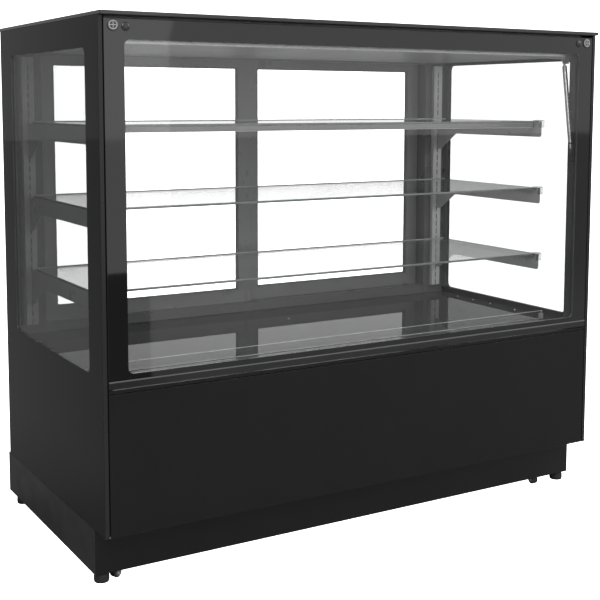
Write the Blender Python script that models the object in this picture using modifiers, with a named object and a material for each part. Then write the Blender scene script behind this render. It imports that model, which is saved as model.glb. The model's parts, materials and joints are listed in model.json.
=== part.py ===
"""A refrigerated bakery display case with a square lift-up front glass, three glass shelves and rear sliding doors.

Run with: blender --background --python part.py
Units are metres. +Z is up, +X runs along the front and the customer stands at -Y. The floor is z = 0.
"""

import math

import bmesh
import bpy
from mathutils import Matrix, Vector

# ---- driving dimensions -------------------------------------------------------------------------------------

LENGTH = 1.500
DEPTH = 0.750
HEIGHT = 1.335
GAP = 0.0003

TOP_THICKNESS = 0.009
TOP_OVERHANG = 0.012
BODY_BOTTOM = 0.136
PLINTH_BOTTOM = 0.0245
PLINTH_RECESS = 0.070
PLINTH_WALL = 0.002
PLINTH_WEB = (0.050, 0.053)

SIDE_THICKNESS = 0.010
SHEET = 0.002
GLASS = 0.006

DECK_TOP = 0.490
DECK_THICKNESS = 0.0025
CEILING = 1.266
SILL = (0.474, 0.482)
SILL_DEPTH = 0.075
GLASS_HALF_WIDTH = 0.737
GLASS_BOTTOM = 0.484
GLASS_TOP = 1.319

SHELF_TOPS = {"lower": 0.681, "middle": 0.881, "upper": 1.081}
SHELF_HALF_LENGTH = 0.704
SHELF_FRONT = -0.200
SHELF_BACK = 0.250
BRACKET_X = 0.7015
BRACKET_THICKNESS = 0.002
RAIL_FRONT = 0.290
RAIL_SHEET = 0.0015
RAIL_X = (0.685, 0.718)
RAIL_Z = (0.517, 1.256)
SLOT_FIRST = 0.526
SLOT_PITCH = 0.025
SLOT_COUNT = 29
SLOT_SIZE = (0.004, 0.016)

HINGE_Y = -0.363
HINGE_Z = 1.308
HINGE_SWEEP = 0.019
CANOPY_FRONT = HINGE_Y + HINGE_SWEEP
STRUT_X = 0.715
STRUT_TOP = Vector((STRUT_X, -0.287, 1.257))
STRUT_END = Vector((STRUT_X, -0.328, 0.972))
STRUT_TUBE = (0.016, 0.240)
STRUT_TUBE_RADIUS = 0.0068
STRUT_ROD_RADIUS = 0.0035

POST_FRONT_X = 0.724
POST_FRONT_Y = (-0.366, -0.300)
POST_REAR_X = 0.6595
POST_REAR_Y = (0.303, 0.372)
DOOR_Z = (0.506, 1.282)
DOOR_CLEAR_Z = (0.555, 1.240)
DOOR_THICKNESS = 0.014
DOOR_LEFT = {"x": (-0.657, 0.003), "clear": (-0.622, -0.039), "y": 0.3225}
DOOR_RIGHT = {"x": (-0.005, 0.657), "clear": (0.037, 0.615), "y": 0.3435}
GRIP_INSET = 0.018

FOOT_X = 0.727
FOOT_Y = (-0.283, 0.330)
FOOT_RADIUS = 0.019
CASTOR_X = {"left": -0.6835, "right": 0.6316}
CASTOR_Y = {"front": -0.279, "rear": 0.290}
CASTOR_TURN = {"front_left": 22, "front_right": 90, "rear_left": -35, "rear_right": 50}
CASTOR_TRAIL = 0.008
CASTOR_RADIUS = 0.0125
CASTOR_HALF_WIDTH = 0.009
CASTOR_LIFT = 0.0015
FORK_CHEEK = (0.0105, 0.0125)
FORK_HALF = 0.0065

FAN_CENTRE = Vector((0.0, 0.100, 0.262))
FAN_RADIUS = 0.066

HALF = LENGTH / 2
FRONT = -DEPTH / 2
BACK = DEPTH / 2
INSIDE = HALF - SIDE_THICKNESS - GAP
TOP_UNDERSIDE = HEIGHT - TOP_THICKNESS
PLINTH_FRONT = FRONT + PLINTH_RECESS
PLINTH_BACK = BACK + TOP_OVERHANG
GLASS_BACK = FRONT + GLASS

SIDES = {"left": -1, "right": 1}

# ---- collections and materials ------------------------------------------------------------------------------


def clear_scene():
    for obj in list(bpy.data.objects):
        bpy.data.objects.remove(obj)


def collection(name):
    made = bpy.data.collections.new(name)
    bpy.context.scene.collection.children.link(made)
    return made


def material(name, colour, roughness, metallic=0.0, alpha=1.0):
    made = bpy.data.materials.new(name)
    made.use_nodes = True
    shader = made.node_tree.nodes["Principled BSDF"]
    shader.inputs["Base Color"].default_value = (*colour, 1.0)
    shader.inputs["Roughness"].default_value = roughness
    shader.inputs["Metallic"].default_value = metallic
    shader.inputs["Alpha"].default_value = alpha
    made.diffuse_color = (*colour, alpha)
    return made


FINISHES = {
    "black_glass": ((0.020, 0.020, 0.021), 0.08, 0.0, 1.0),
    "clear_glass": ((0.85, 0.90, 0.90), 0.03, 0.0, 0.25),
    "black_paint": ((0.022, 0.022, 0.023), 0.35, 0.0, 1.0),
    "graphite_steel": ((0.16, 0.16, 0.17), 0.35, 0.8, 1.0),
    "brushed_steel": ((0.50, 0.50, 0.51), 0.30, 1.0, 1.0),
    "chrome": ((0.75, 0.75, 0.76), 0.10, 1.0, 1.0),
    "anodised": ((0.42, 0.42, 0.43), 0.35, 1.0, 1.0),
    "foam_white": ((0.75, 0.75, 0.74), 0.55, 0.0, 1.0),
    "black_plastic": ((0.015, 0.015, 0.016), 0.45, 0.0, 1.0),
    "rubber": ((0.012, 0.012, 0.012), 0.80, 0.0, 1.0),
    "coil": ((0.55, 0.56, 0.58), 0.40, 1.0, 1.0),
}


def give_material(obj, finish):
    """Each sub-part has a material of its own, named after it."""
    obj.data.materials.clear()
    obj.data.materials.append(material(obj.name + "_" + finish, *FINISHES[finish]))


# ---- shape helpers ------------------------------------------------------------------------------------------


def new_object(name, mesh, where, location=(0, 0, 0)):
    obj = bpy.data.objects.new(name, mesh)
    obj.location = location
    where.objects.link(obj)
    return obj


def bevel(obj, width, segments=1):
    modifier = obj.modifiers.new("edges", "BEVEL")
    modifier.width = width
    modifier.segments = segments
    modifier.limit_method = "ANGLE"
    modifier.angle_limit = math.radians(40)
    return obj


def block(name, x, y, z, where, pivot=None, edge=0.0):
    """A rectangular block between the given limits, with its origin at its middle or at the pivot."""
    middle = Vector(((x[0] + x[1]) / 2, (y[0] + y[1]) / 2, (z[0] + z[1]) / 2))
    size = Vector((x[1] - x[0], y[1] - y[0], z[1] - z[0]))
    origin = middle if pivot is None else Vector(pivot)
    mesh = bpy.data.meshes.new(name)
    shape = bmesh.new()
    bmesh.ops.create_cube(shape, size=1.0)
    bmesh.ops.scale(shape, vec=size, verts=shape.verts)
    bmesh.ops.translate(shape, vec=middle - origin, verts=shape.verts)
    shape.to_mesh(mesh)
    shape.free()
    obj = new_object(name, mesh, where, origin)
    if edge:
        bevel(obj, edge)
    return obj


def rod(name, start, end, radius, where, pivot=None, segments=24, radius_end=None):
    """A round bar or cone from start to end."""
    start, end = Vector(start), Vector(end)
    along = end - start
    origin = start if pivot is None else Vector(pivot)
    turn = Vector((0, 0, 1)).rotation_difference(along).to_matrix().to_4x4()
    place = Matrix.Translation((start + end) / 2 - origin) @ turn
    mesh = bpy.data.meshes.new(name)
    shape = bmesh.new()
    bmesh.ops.create_cone(
        shape,
        cap_ends=True,
        segments=segments,
        radius1=radius,
        radius2=radius if radius_end is None else radius_end,
        depth=along.length,
        matrix=place,
    )
    shape.to_mesh(mesh)
    shape.free()
    mesh.shade_smooth()
    mesh.set_sharp_from_angle(angle=math.radians(40))
    return new_object(name, mesh, where, origin)


def turned(name, profile, where, location, segments=32):
    """A turned piece about +Z: the profile lists (radius, height) from the top down."""
    mesh = bpy.data.meshes.new(name)
    points = [(radius, 0.0, height) for radius, height in profile]
    mesh.from_pydata(points, [(i, i + 1) for i in range(len(points) - 1)], [])
    obj = new_object(name, mesh, where, location)
    screw = obj.modifiers.new("turn", "SCREW")
    screw.steps = segments
    screw.render_steps = segments
    screw.use_merge_vertices = True
    screw.merge_threshold = 0.00005
    screw.use_smooth_shade = True
    return obj


def plate(name, outline, x, thickness, where):
    """A flat plate whose (y, z) outline stands in the plane at x, thickness measured along X."""
    curve = bpy.data.curves.new(name, "CURVE")
    curve.dimensions = "2D"
    curve.fill_mode = "BOTH"
    curve.extrude = thickness / 2
    spline = curve.splines.new("POLY")
    spline.points.add(len(outline) - 1)
    for point, (y, z) in zip(spline.points, outline):
        point.co = (y, z, 0, 1)
    spline.use_cyclic_u = True
    guide = bpy.data.objects.new(name + "_outline", curve)
    guide.matrix_world = Matrix(((0, 0, 1, x), (1, 0, 0, 0), (0, 1, 0, 0), (0, 0, 0, 1)))
    where.objects.link(guide)
    bpy.context.view_layer.update()
    depsgraph = bpy.context.evaluated_depsgraph_get()
    mesh = bpy.data.meshes.new_from_object(guide.evaluated_get(depsgraph))
    shape = bmesh.new()
    shape.from_mesh(mesh)
    bmesh.ops.remove_doubles(shape, verts=shape.verts, dist=0.00001)
    shape.to_mesh(mesh)
    shape.free()
    obj = new_object(name, mesh, where)
    obj.matrix_world = guide.matrix_world
    bpy.data.objects.remove(guide)
    return obj


def arc(centre, radius, start, end, steps):
    """Points of an arc in (y, z), angles in degrees."""
    angles = [math.radians(start + (end - start) * i / steps) for i in range(steps + 1)]
    return [(centre[0] + radius * math.cos(a), centre[1] + radius * math.sin(a)) for a in angles]


def boolean(target, tool, operation):
    tool.hide_render = True
    tool.display_type = "WIRE"
    modifier = target.modifiers.new(operation.lower(), "BOOLEAN")
    modifier.operation = operation
    modifier.object = tool
    modifier.solver = "EXACT"
    return target


def cut(target, *tools):
    for tool in tools:
        boolean(target, tool, "DIFFERENCE")
    return target


def join(target, *tools):
    for tool in tools:
        boolean(target, tool, "UNION")
    return target


def between(a, b):
    return (min(a, b), max(a, b))


def side_range(side, inner, outer):
    """The X limits of a piece that lies between inner and outer on one side."""
    return between(SIDES[side] * inner, SIDES[side] * outer)


# ---- base ---------------------------------------------------------------------------------------------------


def make_plinth():
    """A recessed plinth: four walls and a web that carries the feet and castors."""
    outer_x = (-HALF, HALF)
    outer_y = (PLINTH_FRONT, PLINTH_BACK)
    skirt = block("plinth_skirt", outer_x, outer_y, (PLINTH_BOTTOM, BODY_BOTTOM - GAP), PARTS)
    inner_x = (-HALF + PLINTH_WALL, HALF - PLINTH_WALL)
    inner_y = (PLINTH_FRONT + PLINTH_WALL, PLINTH_BACK - PLINTH_WALL)
    upper = block("plinth_upper_room", inner_x, inner_y, (PLINTH_WEB[1], BODY_BOTTOM + 0.01), CUTTERS)
    lower = block("plinth_lower_room", inner_x, inner_y, (PLINTH_BOTTOM - 0.01, PLINTH_WEB[0]), CUTTERS)
    cut(skirt, upper, lower)
    give_material(skirt, "black_paint")


def make_base_floor():
    floor = block("base_floor", (-INSIDE, INSIDE), (FRONT + SHEET + GAP, POST_REAR_Y[1]),
                  (BODY_BOTTOM, BODY_BOTTOM + 0.003), PARTS)
    give_material(floor, "graphite_steel")


def make_feet():
    """Levelling feet: a flared pad on a threaded stud under the plinth's web."""
    profile = [(0.0, 0.0497), (0.005, 0.0497), (0.005, 0.024), (0.012, 0.0235), (0.0165, 0.021),
               (0.0185, 0.016), (FOOT_RADIUS, 0.006), (0.0175, 0.0), (0.0, 0.0)]
    for end, y in zip(("front", "rear"), FOOT_Y):
        for side, sign in SIDES.items():
            foot = turned(f"foot_{end}_{side}", profile, PARTS, (sign * FOOT_X, y, 0), 24)
            give_material(foot, "rubber")


def make_castor(end, side):
    """A swivel fork under the plinth's web, and its wheel, which clears the floor when the feet are down."""
    name = f"{end}_{side}"
    pivot = Vector((CASTOR_X[side], CASTOR_Y[end], 0))
    axle = Vector((-CASTOR_TRAIL, 0, CASTOR_LIFT + CASTOR_RADIUS))
    axle_z = axle.z
    turn = Matrix.Rotation(math.radians(CASTOR_TURN[name]), 4, "Z")
    place = Matrix.Translation(pivot) @ turn
    plate = (PLINTH_WEB[0] - 0.008, PLINTH_WEB[0] - GAP)
    bridge_z = (0.0315, 0.0345)
    fork = rod(f"castor_fork_{name}", (0, 0, plate[0]), (0, 0, plate[1]), 0.015, PARTS, pivot=(0, 0, 0))
    pieces = [
        rod(f"fork_neck_{name}", (0, 0, bridge_z[0] + 0.001), (0, 0, plate[0] + 0.001), 0.008, CUTTERS, pivot=(0, 0, 0)),
        block(f"fork_bridge_{name}", (axle.x - FORK_HALF, 0.009), (-FORK_CHEEK[1], FORK_CHEEK[1]), bridge_z, CUTTERS,
              pivot=(0, 0, 0)),
    ]
    for cheek, facing in (("front", -1), ("back", 1)):
        y = between(facing * FORK_CHEEK[0], facing * FORK_CHEEK[1])
        pieces.append(block(f"fork_{cheek}_{name}", (axle.x - FORK_HALF, axle.x + FORK_HALF), y,
                            (axle_z, bridge_z[0] + 0.001), CUTTERS, pivot=(0, 0, 0)))
        pieces.append(rod(f"fork_{cheek}_end_{name}", (axle.x, y[0], axle_z), (axle.x, y[1], axle_z), FORK_HALF,
                          CUTTERS, pivot=(0, 0, 0)))
    pieces.append(rod(f"fork_axle_{name}", (axle.x, -0.0135, axle_z), (axle.x, 0.0135, axle_z), 0.003, CUTTERS,
                      pivot=(0, 0, 0), segments=16))
    for piece in (fork, *pieces):
        piece.matrix_world = place
    join(fork, *pieces)
    give_material(fork, "brushed_steel")
    wheel = rod(f"castor_wheel_{name}", (0, -CASTOR_HALF_WIDTH, 0), (0, CASTOR_HALF_WIDTH, 0), CASTOR_RADIUS, PARTS,
                pivot=(0, 0, 0), segments=32)
    bore = rod(f"wheel_bore_{name}", (0, -0.02, 0), (0, 0.02, 0), 0.0034, CUTTERS, pivot=(0, 0, 0), segments=16)
    for piece in (wheel, bore):
        piece.matrix_world = place @ Matrix.Translation(axle)
    bevel(wheel, 0.0015)
    cut(wheel, bore)
    give_material(wheel, "rubber")


# ---- casing -------------------------------------------------------------------------------------------------


def make_side_glasses():
    """Full-height side panels of bonded glass, printed black around their windows."""
    for side in SIDES:
        panel = block(f"side_glass_{side}", side_range(side, HALF - SIDE_THICKNESS, HALF), (FRONT, BACK),
                      (BODY_BOTTOM, TOP_UNDERSIDE - GAP), PARTS, edge=0.0008)
        give_material(panel, "black_glass")


def make_posts():
    """Foam-filled corner posts: slim ones behind the front glass, wide door jambs at the rear."""
    top = TOP_UNDERSIDE - GAP
    bottom = BODY_BOTTOM + 0.003 + GAP
    for side in SIDES:
        front = block(f"front_post_{side}", side_range(side, POST_FRONT_X, INSIDE), POST_FRONT_Y,
                      (bottom, top), PARTS, edge=0.0015)
        notch = block(f"hinge_notch_{side}", side_range(side, POST_FRONT_X - 0.01, HALF),
                      (POST_FRONT_Y[0] - 0.01, CANOPY_FRONT), (HINGE_Z - HINGE_SWEEP, top + 0.01), CUTTERS)
        cut(front, notch)
        give_material(front, "black_paint")
        rear = block(f"rear_post_{side}", side_range(side, POST_REAR_X, INSIDE), POST_REAR_Y,
                     (bottom, top), PARTS, edge=0.0015)
        give_material(rear, "black_paint")


def make_top_plate():
    top = block("top_plate", (-HALF, HALF), (FRONT - TOP_OVERHANG, BACK + TOP_OVERHANG),
                (TOP_UNDERSIDE, HEIGHT), PARTS, edge=0.0012)
    give_material(top, "black_glass")


def make_canopy():
    """The insulated ceiling between the posts, with the upper pivots of both gas struts under it."""
    x = POST_FRONT_X - GAP
    canopy = block("canopy", (-x, x), (CANOPY_FRONT, POST_REAR_Y[0] - GAP), (CEILING, TOP_UNDERSIDE - GAP), PARTS)
    tools = []
    for side, sign in SIDES.items():
        tools.append(block(f"pivot_lug_{side}", side_range(side, 0.7195, 0.7235), (-0.298, -0.276),
                           (STRUT_TOP.z - 0.009, CEILING + 0.004), CUTTERS))
        tools.append(rod(f"pivot_pin_{side}", (sign * 0.7205, STRUT_TOP.y, STRUT_TOP.z),
                         (sign * 0.7105, STRUT_TOP.y, STRUT_TOP.z), 0.003, CUTTERS, segments=24))
        tools.append(rod(f"hinge_pin_{side}", (sign * 0.665, HINGE_Y, HINGE_Z), (sign * 0.692, HINGE_Y, HINGE_Z),
                         0.003, CUTTERS, segments=24))
        tools.append(block(f"hinge_ear_{side}", side_range(side, 0.664, 0.668),
                           (HINGE_Y - 0.0035, CANOPY_FRONT + 0.002), (HINGE_Z - 0.0035, HINGE_Z + 0.0035), CUTTERS))
    join(canopy, *tools)
    give_material(canopy, "graphite_steel")


def make_lower_panels():
    front = block("front_lower_panel", (-GLASS_HALF_WIDTH, GLASS_HALF_WIDTH), (FRONT, FRONT + SHEET),
                  (BODY_BOTTOM + 0.0005, SILL[0] - 0.002), PARTS, edge=0.0005)
    give_material(front, "black_paint")
    y = (POST_REAR_Y[1] + GAP, BACK)
    rear = block("rear_lower_panel", (-INSIDE, INSIDE), y, (BODY_BOTTOM + 0.0005, 0.498), PARTS)
    deep = (y[0] - 0.01, y[1] + 0.01)
    tools = [
        block("controller_window", (0.4645, 0.5355), deep, (0.3155, 0.3445), CUTTERS),
        block("switch_window", (0.3935, 0.4065), deep, (0.3208, 0.3392), CUTTERS),
        block("inlet_window", (0.586, 0.614), deep, (0.190, 0.210), CUTTERS),
    ]
    for row in range(11):
        for column in range(4):
            x = -0.560 + 0.190 * column
            z = 0.185 + 0.022 * row
            tools.append(block(f"louvre_{row}_{column}", (x, x + 0.160), deep, (z, z + 0.008), CUTTERS))
    cut(rear, *tools)
    give_material(rear, "black_paint")


def make_front_sill():
    """The rail that the front glass closes on: a slim visible edge, and a shelf back to the deck."""
    sill = block("front_sill", (-POST_FRONT_X + GAP, POST_FRONT_X - GAP), (FRONT + 0.004, FRONT + SILL_DEPTH),
                 SILL, PARTS)
    edge = block("sill_edge", (-GLASS_HALF_WIDTH, GLASS_HALF_WIDTH), (FRONT, POST_FRONT_Y[0] - GAP), SILL, CUTTERS)
    join(sill, edge)
    give_material(sill, "anodised")


# ---- refrigerated well --------------------------------------------------------------------------------------


def make_tub():
    """The insulated floor of the display, with a well for the evaporator under the deck."""
    tub = block("insulated_tub", (-INSIDE, INSIDE), (-0.300 + GAP, POST_REAR_Y[0] - GAP),
                (0.395, DECK_TOP - DECK_THICKNESS - GAP), PARTS)
    cut(tub, block("evaporator_well", (-0.400, 0.400), (-0.060, 0.240), (0.415, 0.600), CUTTERS))
    give_material(tub, "foam_white")


def make_deck():
    deck = block("deck_panel", (-INSIDE, INSIDE), (-0.295, POST_REAR_Y[0] - GAP),
                 (DECK_TOP - DECK_THICKNESS, DECK_TOP), PARTS)
    give_material(deck, "black_glass")
    deflector = block("deflector_glass", (-0.690, 0.690), (-0.248, -0.243), (DECK_TOP + GAP, 0.514), PARTS,
                      edge=0.0006)
    give_material(deflector, "clear_glass")


def make_evaporator():
    body = block("evaporator", (-0.300, 0.180), (0.060, 0.180), (0.4153, 0.472), PARTS)
    fin = block("evaporator_fins", (-0.290, 0.170), (0.050, 0.190), (0.425, 0.462), CUTTERS)
    join(body, fin)
    give_material(body, "coil")


# ---- shelves ------------------------------------------------------------------------------------------------


def make_shelf(level, top):
    shelf = block(f"shelf_{level}", (-SHELF_HALF_LENGTH, SHELF_HALF_LENGTH), (SHELF_FRONT, SHELF_BACK),
                  (top - GLASS, top), PARTS, edge=0.0008)
    give_material(shelf, "clear_glass")
    for side in SIDES:
        make_bracket(level, top, side)


def make_bracket(level, top, side):
    """A cantilever bracket: a web hooked into the rail's slots, and a flange under the shelf's end."""
    back = RAIL_FRONT - GAP
    front = SHELF_FRONT - 0.013
    seat = top - GLASS - GAP
    nose = arc((front + 0.008, top - 0.040), 0.008, 180, 270, 4)
    outline = [(front + 0.009, seat), (front + 0.009, top - 0.001), (front, top - 0.001), *nose]
    outline += [(0.191, top - 0.048), (0.270, top - 0.100), (back, top - 0.100)]
    for drop in (0.080, 0.030):
        slot = top - drop
        behind = RAIL_FRONT + RAIL_SHEET + 0.0004
        outline += [(back, slot - 0.0076), (behind, slot - 0.0076), (behind, slot - 0.0130),
                    (behind + 0.003, slot - 0.0130), (behind + 0.003, slot), (back, slot)]
    outline += [(back, seat)]
    sign = SIDES[side]
    bracket = plate(f"bracket_{level}_{side}", outline, sign * BRACKET_X, BRACKET_THICKNESS, PARTS)
    inner = BRACKET_X + BRACKET_THICKNESS / 2
    flange = block(f"flange_{level}_{side}", side_range(side, inner - 0.016, inner - 0.0002),
                   (SHELF_FRONT + 0.002, SHELF_BACK), (seat - 0.0016, seat - 0.0001), CUTTERS)
    join(bracket, flange)
    give_material(bracket, "graphite_steel")


def make_shelf_rails():
    """Slotted uprights: a folded channel whose front face has one column of slots."""
    deep = POST_REAR_Y[0] - GAP
    for side in SIDES:
        x = side_range(side, *RAIL_X)
        rail = block(f"shelf_rail_{side}", x, (RAIL_FRONT, deep), RAIL_Z, PARTS)
        hollow = block(f"rail_hollow_{side}", (x[0] + RAIL_SHEET, x[1] - RAIL_SHEET),
                       (RAIL_FRONT + RAIL_SHEET, deep + 0.01), (RAIL_Z[0] - 0.01, RAIL_Z[1] + 0.01), CUTTERS)
        tools = [hollow]
        middle = SIDES[side] * BRACKET_X
        for i in range(SLOT_COUNT):
            z = SLOT_FIRST + SLOT_PITCH * i
            tools.append(block(f"slot_{side}_{i}", (middle - SLOT_SIZE[0] / 2, middle + SLOT_SIZE[0] / 2),
                               (RAIL_FRONT - 0.005, RAIL_FRONT + 0.005),
                               (z - SLOT_SIZE[1] / 2, z + SLOT_SIZE[1] / 2), CUTTERS))
        cut(rail, *tools)
        give_material(rail, "brushed_steel")


def make_shelf_light():
    top = SHELF_TOPS["upper"] - GLASS - GAP
    bar = block("shelf_light_bar", (-0.684, 0.684), (SHELF_FRONT, SHELF_FRONT + 0.018), (top - 0.0140, top), PARTS,
                edge=0.001)
    give_material(bar, "anodised")


# ---- front glass and its struts -----------------------------------------------------------------------------


def make_front_glass():
    pivot = (0, HINGE_Y, HINGE_Z)
    pane = block("front_glass", (-GLASS_HALF_WIDTH, GLASS_HALF_WIDTH), (FRONT, GLASS_BACK),
                 (GLASS_BOTTOM, GLASS_TOP), PARTS, pivot=pivot, edge=0.0008)
    for side, sign in SIDES.items():
        for name, x, z in (("disc", STRUT_X, 1.304), ("cap", 0.685, 1.301)):
            cut(pane, rod(f"{name}_hole_{side}", (sign * x, FRONT - 0.01, z), (sign * x, GLASS_BACK + 0.01, z),
                          0.0055, CUTTERS, segments=16))
    give_material(pane, "clear_glass")


def make_hinge_arm(side):
    """An arm clamped behind the glass: it turns on the canopy's pin and carries the strut's lower end."""
    sign = SIDES[side]
    y = (GLASS_BACK + GAP, GLASS_BACK + 0.0035)
    pivot = (sign * STRUT_X, HINGE_Y, HINGE_Z)
    arm = block(f"hinge_arm_{side}", side_range(side, 0.6975, 0.722), y, (0.955, 1.316), PARTS, pivot=pivot)
    tools = [
        block(f"arm_head_{side}", side_range(side, 0.670, 0.710), y, (1.292, 1.316), CUTTERS),
        rod(f"knuckle_{side}", (sign * 0.670, HINGE_Y, HINGE_Z), (sign * 0.692, HINGE_Y, HINGE_Z), 0.0052,
            CUTTERS, segments=24),
        block(f"strut_lug_{side}", side_range(side, 0.704, 0.7085), (y[0] + 0.001, STRUT_END.y + 0.006),
              (STRUT_END.z - 0.008, STRUT_END.z + 0.008), CUTTERS),
        rod(f"strut_stud_{side}", (sign * 0.706, STRUT_END.y, STRUT_END.z),
            (sign * 0.7105, STRUT_END.y, STRUT_END.z), 0.004, CUTTERS),
    ]
    for name, x, z, radius, deep in (("disc", STRUT_X, 1.304, 0.0135, 0.002), ("cap", 0.685, 1.301, 0.010, 0.003)):
        tools.append(rod(f"{name}_stud_{side}", (sign * x, FRONT - 0.001, z), (sign * x, y[0] + 0.002, z), 0.005,
                         CUTTERS, segments=16))
        tools.append(rod(f"{name}_head_{side}", (sign * x, FRONT - GAP - deep, z), (sign * x, FRONT - GAP, z),
                         radius, CUTTERS))
    join(arm, *tools)
    cut(arm, rod(f"knuckle_bore_{side}", (sign * 0.660, HINGE_Y, HINGE_Z), (sign * 0.6935, HINGE_Y, HINGE_Z),
                 0.0034, CUTTERS, segments=24))
    give_material(arm, "graphite_steel")


def make_gas_strut(side):
    """A gas strut: the tube hangs from the canopy, and the rod reaches to the lug on the hinge arm."""
    sign = SIDES[side]
    top = Vector((sign * STRUT_TOP.x, STRUT_TOP.y, STRUT_TOP.z))
    end = Vector((sign * STRUT_END.x, STRUT_END.y, STRUT_END.z))
    along = (end - top).normalized()
    width = Vector((0.003, 0, 0))
    tube = rod(f"gas_tube_{side}", top + along * STRUT_TUBE[0], top + along * STRUT_TUBE[1], STRUT_TUBE_RADIUS,
               PARTS, pivot=top)
    eye = rod(f"tube_eye_{side}", top - width, top + width, 0.0066, CUTTERS)
    neck = rod(f"tube_neck_{side}", top + along * 0.0055, top + along * (STRUT_TUBE[0] + 0.002), 0.003, CUTTERS)
    join(tube, eye, neck)
    hole = rod(f"eye_hole_{side}", top - width * 3, top + width * 3, 0.0034, CUTTERS)
    bore = rod(f"tube_bore_{side}", top + along * 0.022, top + along * (STRUT_TUBE[1] + 0.018),
               STRUT_ROD_RADIUS + 0.0006, CUTTERS)
    cut(tube, hole, bore)
    give_material(tube, "brushed_steel")
    bar = rod(f"gas_rod_{side}", top + along * 0.026, end - along * 0.004, STRUT_ROD_RADIUS, PARTS, pivot=end)
    join(bar, rod(f"rod_eye_{side}", end - width, end + width, 0.0068, CUTTERS))
    give_material(bar, "chrome")


# ---- rear doors ---------------------------------------------------------------------------------------------


def make_door(side, door):
    """A sliding door: a frame with a finger recess, and its pane."""
    y = (door["y"], door["y"] + DOOR_THICKNESS)
    frame = block(f"door_frame_{side}", door["x"], y, DOOR_Z, PARTS, edge=0.001)
    deep = (y[0] - 0.01, y[1] + 0.01)
    opening = block(f"door_opening_{side}", door["clear"], deep, DOOR_CLEAR_Z, CUTTERS)
    outer = max(door["x"], key=abs)
    middle = outer - math.copysign(GRIP_INSET, outer)
    recess = block(f"grip_recess_{side}", (middle - 0.010, middle + 0.010), (y[1] - 0.008, y[1] + 0.01),
                   (0.820, 0.960), CUTTERS)
    cut(frame, opening, recess)
    give_material(frame, "black_plastic")
    x = (door["clear"][0] + GAP, door["clear"][1] - GAP)
    z = (DOOR_CLEAR_Z[0] + GAP, DOOR_CLEAR_Z[1] - GAP)
    pane = block(f"door_pane_{side}", x, (y[0] + 0.004, y[0] + 0.010), z, PARTS)
    give_material(pane, "clear_glass")


def make_door_tracks():
    """Two rails with a pair of grooves each, which the doors slide in."""
    x = (-POST_REAR_X + GAP, POST_REAR_X - GAP)
    y = (POST_REAR_Y[0] + GAP, POST_REAR_Y[1] - GAP)
    lower = block("door_track_lower", x, y, (0.400, 0.518), PARTS)
    upper = block("door_track_upper", x, y, (CEILING - 0.004, TOP_UNDERSIDE - GAP), PARTS)
    for name, door in (("left", DOOR_LEFT), ("right", DOOR_RIGHT)):
        groove = (door["y"] - 0.001, door["y"] + DOOR_THICKNESS + 0.001)
        long = (x[0] - 0.01, x[1] + 0.01)
        cut(lower, block(f"lower_groove_{name}", long, groove, (DOOR_Z[0] - 0.001, 0.600), CUTTERS))
        cut(upper, block(f"upper_groove_{name}", long, groove, (1.200, DOOR_Z[1] + 0.001), CUTTERS))
    give_material(lower, "black_paint")
    give_material(upper, "black_paint")


# ---- refrigeration and controls -----------------------------------------------------------------------------


def make_compressor():
    floor = BODY_BOTTOM + 0.003 + GAP
    centre = (0.340, 0.120, floor)
    profile = [(0.0, 0.180), (0.035, 0.176), (0.062, 0.162), (0.076, 0.138), (0.080, 0.105), (0.084, 0.102),
               (0.084, 0.096), (0.080, 0.093), (0.079, 0.050), (0.068, 0.026), (0.040, 0.014), (0.0, 0.012)]
    body = turned("compressor", profile, PARTS, centre, 32)
    foot = block("compressor_foot", (0.235, 0.445), (0.060, 0.180), (floor + 0.010, floor + 0.018), CUTTERS)
    tools = [foot]
    for x in (0.250, 0.430):
        for y in (0.075, 0.165):
            tools.append(rod(f"compressor_mount_{x}_{y}", (x, y, floor), (x, y, floor + 0.012), 0.011, CUTTERS,
                             segments=16))
    join(body, *tools)
    give_material(body, "black_paint")


def make_condenser():
    """A finned block with a fan shroud, and the spindle that the fan turns on."""
    floor = BODY_BOTTOM + 0.003 + GAP
    c = FAN_CENTRE
    body = block("condenser", (c.x - 0.085, c.x - 0.022), (c.y - 0.150, c.y + 0.150), (floor, 0.385), PARTS)
    shroud = block("condenser_shroud", (c.x - 0.024, c.x + 0.016), (c.y - 0.080, c.y + 0.080),
                   (c.z - 0.080, c.z + 0.080), CUTTERS)
    mouth = rod("shroud_mouth", c + Vector((-0.018, 0, 0)), c + Vector((0.05, 0, 0)), FAN_RADIUS + 0.004, CUTTERS,
                segments=32)
    spindle = rod("fan_spindle", c + Vector((-0.030, 0, 0)), c + Vector((0.018, 0, 0)), 0.004, CUTTERS, segments=16)
    join(body, shroud)
    cut(body, mouth)
    join(body, spindle)
    give_material(body, "coil")


def make_condenser_fan():
    c = FAN_CENTRE
    fan = rod("condenser_fan", c + Vector((-0.012, 0, 0)), c + Vector((0.014, 0, 0)), 0.020, PARTS, pivot=c)
    tools = []
    for i in range(5):
        blade = block(f"fan_blade_{i}", (c.x - 0.001, c.x + 0.001), (c.y - 0.016, c.y + 0.016),
                      (c.z + 0.015, c.z + FAN_RADIUS - 0.002), CUTTERS, pivot=c)
        spin = Matrix.Rotation(math.radians(72 * i), 4, "X")
        pitch = Matrix.Rotation(math.radians(58), 4, "Z")
        blade.matrix_world = Matrix.Translation(c) @ spin @ pitch
        tools.append(blade)
    join(fan, *tools)
    cut(fan, rod("fan_bore", c + Vector((-0.03, 0, 0)), c + Vector((0.03, 0, 0)), 0.0046, CUTTERS, segments=16))
    give_material(fan, "black_plastic")


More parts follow.
